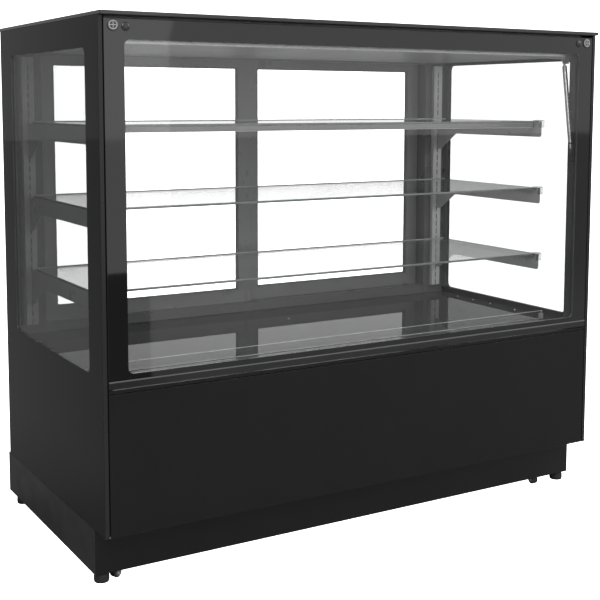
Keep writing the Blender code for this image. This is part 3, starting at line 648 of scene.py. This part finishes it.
def make_side(side, m):
    """A bonded glass side: black-printed glass round a window of two clear panes, and a front edge trim."""
    sign = SIDES[side]
    low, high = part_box(f"side_glass_{side}")
    rim_low, rim_high = (low.y + 0.0021, low.z), (high.y, high.z)
    inset = (WINDOW_Y[0] - rim_low[0], rim_high[0] - WINDOW_Y[1],
             WINDOW_Z[0] - rim_low[1], rim_high[1] - WINDOW_Z[1])
    printed = ring_piece(f"side_print_{side}", rim_low, rim_high, inset, WINDOW_RADIUS, "YZ",
                         sign * SIDE_MIDDLE, SIDE_THICKNESS, m["side_print"], CASE, 0.001, 0.0006)
    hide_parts(f"side_glass_{side}")
    window = window_outline((WINDOW_Y[0], WINDOW_Z[0]), (WINDOW_Y[1], WINDOW_Z[1]), WINDOW_RADIUS)
    for name, middle, thickness in SIDE_PANES:
        outline_piece(f"side_{name}_pane_{side}", [window], "YZ", sign * middle, thickness,
                      m["side_clear"], CASE, 0.0, m["edge"])
    blocks = [
        ("side_edge_trim", (0.7400, low.y, low.z), (0.7500, low.y + 0.0017, high.z), "trim", 0.0006),
        ("corner_seal", (0.7374, -0.3715, 0.142), (0.7399, -0.3665, 1.322), "gap", 0.0004),
        ("jamb_return", (0.7384, 0.2812, 0.5065), (0.7399, 0.3026, 1.2585), "jamb", 0.0004),
    ]
    # On the left only, a black strip over the jamb stands in for the shade there: painted shade.
    if side == "left":
        blocks.append(("painted_shade_strip", (0.7186, 0.3010, 0.517), (0.7394, 0.3029, 1.256), "gap", 0.0005))
    for name, first, second, finish, edge in blocks:
        block_piece(f"{name}_{side}", *mirrored(sign, first, second), m[finish], CASE, edge)


def make_front_glass(m):
    """The lift-up front: a pane with polished edges, its black printed border and the seal behind it."""
    low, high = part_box("front_glass")
    middle, thickness = (low.y + high.y) / 2, high.y - low.y
    window_low, window_high = (-FRONT_WINDOW_X, FRONT_WINDOW_Z[0]), (FRONT_WINDOW_X, FRONT_WINDOW_Z[1])
    border = high.x - FRONT_WINDOW_X
    inset = (border, border, window_low[1] - low.z, high.z - window_high[1])
    printed = ring_piece("front_print", (low.x, low.z), (high.x, high.z), inset, FRONT_WINDOW_RADIUS, "XZ",
                         middle, thickness, m["print"], LIFT, 0.0012, 0.0008)
    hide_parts("front_glass")
    window = window_outline(window_low, window_high, FRONT_WINDOW_RADIUS)
    outline_piece("front_pane", [window], "XZ", middle, thickness, m["clear"], LIFT, 0.0, m["edge"])
    block_piece("front_bottom_rail", (low.x + 0.0004, low.y - 0.0014, low.z + 0.0002),
                (high.x - 0.0004, low.y - 0.0002, low.z + 0.0150), m["rail_black"], LIFT, 0.0006, 3)
    # A pale strip on the rail's top edge stands in for its highlight: painted highlight.
    block_piece("front_rail_lip", (low.x + 0.0004, low.y - 0.0018, low.z + 0.0152),
                (high.x - 0.0004, low.y - 0.0002, low.z + 0.0186), m["rail_painted_highlight"], LIFT, 0.0006, 3)
    for side, sign in SIDES.items():
        make_hinge_arm(side, sign, m)
        block_piece(f"post_gasket_{side}", (sign * 0.7255, -0.3680, 0.486), (sign * 0.7355, -0.3660, 1.286),
                    m["rubber"], CASE, 0.0008)


# Outlines of turned parts: radius, and height along the part's axis.
KNUCKLE = [(0.0034, 0.0), (0.0048, 0.0), (0.0052, 0.0006), (0.0052, 0.0214), (0.0048, 0.022), (0.0034, 0.022)]
DISC = [(0, 0.0020), (0.0104, 0.0020), (0.0126, 0.0019), (0.0133, 0.0014), (0.0135, 0.0006), (0.0135, 0.0),
        (0, 0.0)]
DISC_RING = [(0.0086, 0.0018), (0.0086, 0.0024), (0.0089, 0.0027), (0.0100, 0.0027), (0.0103, 0.0024),
             (0.0103, 0.0018)]
CAP = [(0, 0.0033), (0.0050, 0.0032), (0.0080, 0.0026), (0.0095, 0.0015), (0.0100, 0.0), (0, 0.0)]
TUBE_CAP = [(0.0042, 0.0), (0.0060, 0.0), (0.0066, 0.0012), (0.0066, 0.0032), (0.0042, 0.0036)]
TUBE_COLLAR = [(0.0031, 0.0), (0.0050, 0.0008), (0.0064, 0.0024), (0.0031, 0.0026)]
ROD_FITTING = [(0.0037, 0.0), (0.0052, 0.0010), (0.0056, 0.0040), (0.0056, 0.0200), (0.0046, 0.0225),
               (0.0037, 0.0228)]


def make_hinge_arm(side, sign, m):
    """The arm clamped behind the glass, with its knuckle, strut lug, and two fittings on the glass's face."""
    front, back = ARM_Y
    shape = bmesh.new()
    for low, high in (((0.6975, front, 0.955), (0.722, back, 1.316)),
                      ((0.670, front, 1.292), (0.6974, back, 1.316)),
                      ((0.704, back - 0.0002, 0.964), (0.7085, -0.322, 0.980))):
        add_block(shape, *mirrored(sign, low, high), 0.0007)
    name = f"hinge_arm_plate_{side}"
    arm = add_piece(name, mesh_from(shape, name), m["plinth"], LIFT, True)
    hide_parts(f"hinge_arm_{side}")
    turned_piece(f"hinge_knuckle_{side}", KNUCKLE, (sign * 0.670, HINGE_Y, HINGE_Z), (sign, 0, 0),
                 m["steel"], LIFT, 32)
    rod_piece(f"strut_stud_{side}", (sign * 0.7083, *STRUT_END), (sign * 0.7108, *STRUT_END), 0.004,
              m["bright"], LIFT)
    disc = Vector((sign * 0.715, GLASS_FACE_Y, 1.304))
    cap = Vector((sign * 0.685, GLASS_FACE_Y, 1.301))
    forward = (0, -1, 0)
    turned_piece(f"hinge_disc_{side}", DISC, disc, forward, m["disc"], LIFT, 48)
    turned_piece(f"hinge_disc_ring_{side}", DISC_RING, disc, forward, m["cross"], LIFT, 48)
    face = disc + Vector((0, -0.0022, 0))
    bars = [(face + Vector((x[0], -0.0005, z[0])), face + Vector((x[1], 0.0002, z[1])))
            for x, z in (((-0.0084, 0.0084), (-0.0007, 0.0007)),
                         ((-0.0007, 0.0007), (-0.0084, -0.0008)),
                         ((-0.0007, 0.0007), (0.0008, 0.0084)))]
    blocks_piece(f"hinge_disc_cross_{side}", bars, m["cross"], LIFT, 0.0002, 1)
    turned_piece(f"hinge_cap_{side}", CAP, cap, forward, m["top"], LIFT, 40)
    for name, centre in (("disc", disc), ("cap", cap)):
        rod_piece(f"{name}_bolt_{side}", centre + Vector((0, 0.0004, 0)), (centre.x, front + 0.001, centre.z),
                  0.0048, m["steel"], LIFT)


def make_casing(m):
    """The casing. The left rear post takes a darker copy of the jamb coat: painted shade, for the post seen
    through the dimmer side glass.
    """
    for side in SIDES:
        make_side(side, m)
    make_front_glass(m)
    give(m["top"], "top_plate")
    give(m["paint"], "front_lower_panel", "rear_lower_panel", "front_sill")
    give(m["plinth"], "plinth_skirt")
    give(m["black"], "front_post_left", "front_post_right")
    give(m["jamb"], "rear_post_right")
    # The left rear post gets the darker copy of the jamb coat: painted shade.
    give(m["jamb_painted_shade"], "rear_post_left")
    give(m["grey"], "base_floor")
    low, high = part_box("top_plate")
    ring_piece("top_seal", (low.x + 0.004, low.y + 0.016), (high.x - 0.004, high.y - 0.016), 0.004, 0.002,
               "XY", low.z - 0.0006, 0.0010, m["rubber"], CASE)
    make_canopy(m)


def make_canopy(m):
    """The ceiling and its bright front lip."""
    give(m["ceiling"], "canopy")
    low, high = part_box("canopy")
    half = high.x - 0.001
    block_piece("canopy_lip", (-half, -0.3456, 1.2652), (half, -0.3441, 1.2860), m["lip"], CASE, 0.0005)
    places = [(x, y, 1.2660) for x in (-0.60, -0.20, 0.20, 0.60) for y in (-0.200, 0.220)]
    screw_heads("canopy_screws", places, (0, 0, -1), 0.0035, m["steel"], CASE)


# ---- interior ------------------------------------------------------------------------------------


def make_shelves(m):
    """The shelves on their brackets and rails. The left rail takes a darker copy of the rail finish: painted
    shade, for the same reason as the post.
    """
    for level in LEVELS:
        low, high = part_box(f"shelf_{level}")
        top = high.z
        block_piece(f"shelf_back_stop_{level}", (low.x + 0.0010, high.y - 0.0022, top + 0.0001),
                    (high.x - 0.0010, high.y - 0.0003, top + 0.0020), m["clip"], CASE, 0.0003)
        shelf = pane_piece(f"shelf_pane_{level}", low, high, m["shelf"], m["shelf_edge"], CASE, 0.0012)
        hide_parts(f"shelf_{level}")
        for side, sign in SIDES.items():
            give(m["bracket"], f"bracket_{level}_{side}")
            block_piece(f"bumper_{level}_{side}", (sign * 0.6890, -0.2150, top + 0.0003),
                        (sign * 0.7110, -0.1900, top + 0.0032), m["white"], CASE, 0.0010)
            block_piece(f"bumper_lip_{level}_{side}", (sign * 0.6890, -0.2160, top - 0.0200),
                        (sign * 0.7110, -0.2136, top + 0.0020), m["clip_clear"], CASE, 0.0005)
            places = [(sign * 0.7004, y, top - 0.026) for y in (-0.150, 0.150)]
            screw_heads(f"bracket_screws_{level}_{side}", places, (-sign, 0, 0), 0.0028, m["steel"], CASE)
    for side in SIDES:
        # The left rail gets the darker copy of the rail finish: painted shade.
        give(m["zinc" if side == "right" else "zinc_painted_shade"], f"shelf_rail_{side}")
    make_light_bar(m)


def make_light_bar(m):
    """A slim lamp under the front of the upper shelf: profile, diffuser and end caps."""
    low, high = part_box("shelf_light_bar")
    bar = block_piece("light_bar_profile", (low.x + 0.003, low.y, low.z + 0.0012),
                      (high.x - 0.003, high.y, high.z), m["bar"], CASE, 0.0010)
    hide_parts("shelf_light_bar")
    block_piece("light_bar_lens", (low.x + 0.003, low.y + 0.003, low.z),
                (high.x - 0.003, high.y - 0.003, low.z + 0.0014), m["lens"], CASE, 0.0005)
    for side, sign in SIDES.items():
        block_piece(f"light_bar_end_{side}", (sign * 0.6811, low.y + 0.0002, low.z + 0.0004),
                    (sign * 0.684, high.y - 0.0002, high.z), m["black"], CASE, 0.0008)


DECK_TOP = 0.4901
AIR_SLOTS, AIR_SLOT_START, AIR_SLOT_PITCH = 56, -0.660, 0.024


def make_deck(m):
    """The deck with its screws and air slots, the tub under it, and the low deflector glass in its clips."""
    give(m["deck"], "deck_panel")
    give(m["foam"], "insulated_tub")
    low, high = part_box("deflector_glass")
    # The deflector's pale edges are a painted highlight.
    pane = pane_piece("deflector_pane", low, high, m["clear"], m["lit_edge"], CASE, 0.0007)
    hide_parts("deflector_glass")
    for side, sign in SIDES.items():
        x = sign * 0.687
        jaws = [((x - 0.004, y, DECK_TOP), (x + 0.004, y + 0.0030, 0.5060)) for y in (-0.2515, -0.2425)]
        blocks_piece(f"deflector_clip_{side}", jaws, m["clip"], CASE, 0.0006)
    places = [(sign * 0.716, y, DECK_TOP) for sign in (-1, 1) for y in (0.186, 0.107, 0.021, -0.096)]
    places.append((0.030, 0.133, DECK_TOP))
    screw_heads("deck_screws", places, (0, 0, 1), 0.0032, m["bright"], CASE)
    middles = [AIR_SLOT_START + i * AIR_SLOT_PITCH for i in range(AIR_SLOTS)]
    slots = [((x - 0.009, 0.2868, DECK_TOP - 0.0002), (x + 0.009, 0.2900, DECK_TOP + 0.0005))
             for x in middles]
    blocks_piece("deck_air_slots", slots, m["black"], CASE, 0.0003, 1)


# ---- struts --------------------------------------------------------------------------------------


def make_struts(m):
    """Both gas struts, with their end fittings and their mounts under the ceiling."""
    for side, sign in SIDES.items():
        top = Vector((sign * STRUT_X, *STRUT_TOP))
        end = Vector((sign * STRUT_X, *STRUT_END))
        along = (end - top).normalized()
        tube, rod = f"strut_tube_{side}", f"strut_rod_{side}"
        give(m["tube"], f"gas_tube_{side}")
        give(m["bright"], f"gas_rod_{side}")
        for name, profile, centre, finish, body in (
                ("tube_cap", TUBE_CAP, top + along * 0.2402, "black", tube),
                ("tube_collar", TUBE_COLLAR, top + along * 0.0132, "steel", tube),
                ("rod_fitting", ROD_FITTING, end - along * 0.0305, "black", rod)):
            turned_piece(f"{name}_{side}", profile, centre, along, m[finish], body, 32)
        rod_piece(f"tube_pin_head_{side}", top - Vector((sign * 0.0060, 0, 0)),
                  top - Vector((sign * 0.0034, 0, 0)), 0.0048, m["bright"], CASE)
        block_piece(f"strut_mount_{side}", (sign * 0.6900, -0.318, 1.2630), (sign * 0.7232, -0.256, 1.2659),
                    m["mount"], CASE, 0.0005)
        places = [(sign * 0.700, y, 1.2630) for y in (-0.307, -0.267)]
        screw_heads(f"strut_mount_screws_{side}", places, (0, 0, -1), 0.0026, m["bright"], CASE)


# ---- rear ----------------------------------------------------------------------------------------


def make_doors(m):
    """The sliding doors, each with its pane, seals, pull and gliders, and the tracks they run in."""
    for side, sign in SIDES.items():
        body = f"door_{side}"
        give(m["door"], f"door_frame_{side}")
        low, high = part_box(f"door_pane_{side}")
        pane = pane_piece(f"door_glass_{side}", low, high, m["clear"], m["edge"], body, 0.0006)
        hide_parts(f"door_pane_{side}")
        frame_low, frame_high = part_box(f"door_frame_{side}")
        for place, y in (("front", low.y - 0.0012), ("back", high.y + 0.0012)):
            ring_piece(f"door_seal_{place}_{side}", (low.x - 0.0001, low.z - 0.0001),
                       (high.x + 0.0001, high.z + 0.0001), 0.0045, 0.003, "XZ", y, 0.0020, m["seal"],
                       body, 0.0005)
        outer = frame_low.x if sign < 0 else frame_high.x
        middle = outer - sign * 0.018
        ring_piece(f"door_pull_{side}", (middle - 0.0140, 0.8155), (middle + 0.0140, 0.9645), 0.0043, 0.006,
                   "XZ", frame_high.y + 0.0004, 0.0008, m["black"], body, 0.004)
        gliders = [((x - 0.012, frame_low.y + 0.003, frame_low.z - 0.0007),
                    (x + 0.012, frame_high.y - 0.003, frame_low.z + 0.0002))
                   for x in (frame_low.x + 0.060, frame_high.x - 0.060)]
        blocks_piece(f"door_gliders_{side}", gliders, m["white"], body, 0.0002, 1)
    give(m["jamb"], "door_track_lower")
    # The upper track gets the lighter copy of the jamb coat: painted light.
    give(m["jamb_painted_light"], "door_track_upper")


REAR_FACE_Y = 0.3750
LOUVRE_COLUMNS, LOUVRE_ROWS = 4, 11
LOUVRE_START, LOUVRE_PITCH = (-0.480, 0.1935), (0.190, 0.022)  # the first hood's middle, then the steps
LOUVRE_TILT = math.radians(-38)


def make_rear_panel(m):
    """Louvre hoods, panel screws, and the faces of the controller, switch and inlet."""
    give(m["black"], "controller", "power_inlet", "power_switch")
    shape = bmesh.new()
    for row in range(LOUVRE_ROWS):
        for column in range(LOUVRE_COLUMNS):
            x = LOUVRE_START[0] + LOUVRE_PITCH[0] * column
            z = LOUVRE_START[1] + LOUVRE_PITCH[1] * row
            at = Matrix.Translation((x, REAR_FACE_Y, z)) @ Matrix.Rotation(LOUVRE_TILT, 4, "X")
            add_block(shape, (-0.080, -0.0005, -0.0006), (0.080, 0.0085, 0.0006), 0.0003, 1, at)
    add_piece("louvre_hoods", mesh_from(shape, "louvre_hoods"), m["paint"], CASE, True)
    places = [(x, REAR_FACE_Y, z) for x in (-0.720, -0.240, 0.240, 0.720) for z in (0.150, 0.485)]
    screw_heads("rear_panel_screws", places, (0, 1, 0), 0.0038, m["steel"], CASE)
    low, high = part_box("controller")
    block_piece("controller_display", (low.x + 0.006, high.y - 0.0006, 0.3235),
                (low.x + 0.050, high.y + 0.0005, 0.3430), m["display"], CASE, 0.0004)
    for i in range(4):
        x = low.x + 0.0560 + 0.0105 * (i % 2)
        z = 0.3245 + 0.0110 * (i // 2)
        block_piece(f"controller_key_{i}", (x - 0.0040, high.y - 0.0006, z - 0.0036),
                    (x + 0.0040, high.y + 0.0011, z + 0.0036), m["key"], CASE, 0.0007)
    ring_piece("switch_bezel", (0.3890, 0.3160), (0.4110, 0.3440), 0.0042, 0.001, "XZ", 0.3760, 0.0018,
               m["black"], CASE, 0.002)
    low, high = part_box("power_inlet")
    pins = [((x, 0.3530, z), (x, 0.3680, z), 0.0016)
            for x, z in ((0.593, 0.200), (0.600, 0.2035), (0.607, 0.200))]
    rods_piece("inlet_pins", pins, m["bright"], CASE)
    places = [(x, high.y, 0.200) for x in (0.5833, 0.6167)]
    screw_heads("inlet_screws", places, (0, 1, 0), 0.0022, m["steel"], CASE)


FIN_PITCH, FIN_HALF_THICKNESS = 0.0050, 0.0002


def add_fins(name, axis, start, count, low, high, m):
    """A coil's fins, as one piece. They stand one after the other along the axis, from start."""
    shape = bmesh.new()
    low, high = Vector(low), Vector(high)
    for i in range(count):
        low[axis] = start + i * FIN_PITCH - FIN_HALF_THICKNESS
        high[axis] = start + i * FIN_PITCH + FIN_HALF_THICKNESS
        add_block(shape, low, high)
    add_piece(name, mesh_from(shape, name), m["coil"], CASE)


def make_machine(m):
    """The compressor, condenser, fan and evaporator."""
    give(m["paint"], "compressor")
    give(m["black"], "condenser_fan")
    give(m["coil"], "condenser", "evaporator")
    low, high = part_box("condenser")
    add_fins("condenser_fins", 1, low.y + 0.004, 60, (low.x - 0.006, 0, low.z + 0.004),
             (low.x + 0.001, 0, high.z - 0.004), m)
    low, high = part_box("evaporator")
    add_fins("evaporator_fins", 0, low.x + 0.010, 92, (0, low.y - 0.004, 0.426), (0, low.y + 0.001, 0.461), m)
    tube_piece("discharge_pipe", [(0.340, 0.165, 0.280), (0.300, 0.215, 0.310), (0.180, 0.225, 0.330),
                                  (0.080, 0.200, 0.345), (0.020, 0.180, 0.350), (-0.018, 0.180, 0.350)],
               0.0040, m["copper"], CASE)
    tube_piece("suction_pipe", [(0.350, 0.080, 0.290), (0.360, 0.020, 0.330), (0.340, 0.000, 0.370),
                                (0.330, 0.000, 0.3945)], 0.0050, m["copper"], CASE)
    block_piece("compressor_box", (0.395, 0.085, 0.215), (0.428, 0.155, 0.275), m["black"], CASE, 0.003, 3)
    block_piece("wiring_box", (0.440, 0.240, 0.240), (0.640, 0.318, 0.300), m["jamb"], CASE, 0.002, 3)


# ---- running gear --------------------------------------------------------------------------------


WHEEL_HALF_WIDTH = 0.009
NUT_INNER, NUT_OUTER, NUT_RADIUS = 0.0126, 0.0142, 0.0042  # from the wheel's middle along its axle
STUD_TOP, STUD_LOW, STUD_RADIUS = 0.0496, 0.0250, 0.0050
THREAD_TOP, THREAD_PITCH, THREAD_RADIUS, THREADS = 0.0480, 0.0015, 0.0056, 15


def make_wheel(name, m):
    """A castor's tyre and hub on the spin axis of its wheel, and the nuts on the fork's axle."""
    spin = next(j for j in frame["record"]["behaviour"]["joints"] if j["name"] == f"wheel_spin_{name}")
    centre, axis = Vector(spin["pos_m"]), Vector(spin["axis"]).normalized()
    low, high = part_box(f"castor_wheel_{name}")
    r, half = (high.z - low.z) / 2, WHEEL_HALF_WIDTH
    # The half of each outline on one side of the wheel's middle plane. The other half mirrors it.
    tyre_half = [(r * 0.64, half - 0.0008), (r * 0.86, half), (r * 0.96, half - 0.0010), (r, half - 0.0034)]
    hub_half = [(0.0034, half - 0.0001), (0.0050, half - 0.0001), (0.0054, half - 0.0012),
                (r * 0.54, half - 0.0014), (r * 0.62, half - 0.0009)]
    for part, outline, finish, segments in (("tyre", tyre_half, "rubber", 48), ("hub", hub_half, "hub", 40)):
        profile = [(radius, -height) for radius, height in outline] + outline[::-1]
        made = turned_piece(f"castor_{part}_{name}", profile, centre, axis, m[finish], f"wheel_{name}",
                            segments)
        if part == "tyre":
            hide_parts(f"castor_wheel_{name}")
    nuts = [(centre + axis * side * NUT_INNER, centre + axis * side * NUT_OUTER, NUT_RADIUS)
            for side in (-1, 1)]
    rods_piece(f"castor_nuts_{name}", nuts, m["bright"], f"castor_{name}", 0.0003, 6)


def make_running_gear(m):
    """The castors, and the levelling feet with their threaded studs and lock nuts."""
    stud = [(0.0, STUD_TOP)]
    for i in range(THREADS):
        z = THREAD_TOP - i * THREAD_PITCH
        stud += [(STUD_RADIUS, z), (THREAD_RADIUS, z - 0.0006)]
    stud += [(STUD_RADIUS, STUD_LOW), (0.0, STUD_LOW)]
    for end in ("front", "rear"):
        for side in SIDES:
            name = f"{end}_{side}"
            give(m["rubber"], f"foot_{name}")
            give(m["steel"], f"castor_fork_{name}")
            make_wheel(name, m)
            low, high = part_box(f"foot_{name}")
            x, y = (low.x + high.x) / 2, (low.y + high.y) / 2
            turned_piece(f"foot_stud_{name}", stud, (x, y, 0), (0, 0, 1), m["steel"], CASE, 24)
            rod_piece(f"foot_nut_{name}", (x, y, 0.0440), (x, y, 0.0497), 0.0100, m["steel"], CASE, 0.0006, 6)


make_camera()
materials = make_materials()
make_stage()
for make in (make_casing, make_shelves, make_deck, make_struts, make_doors, make_rear_panel, make_machine,
             make_running_gear):
    make(materials)
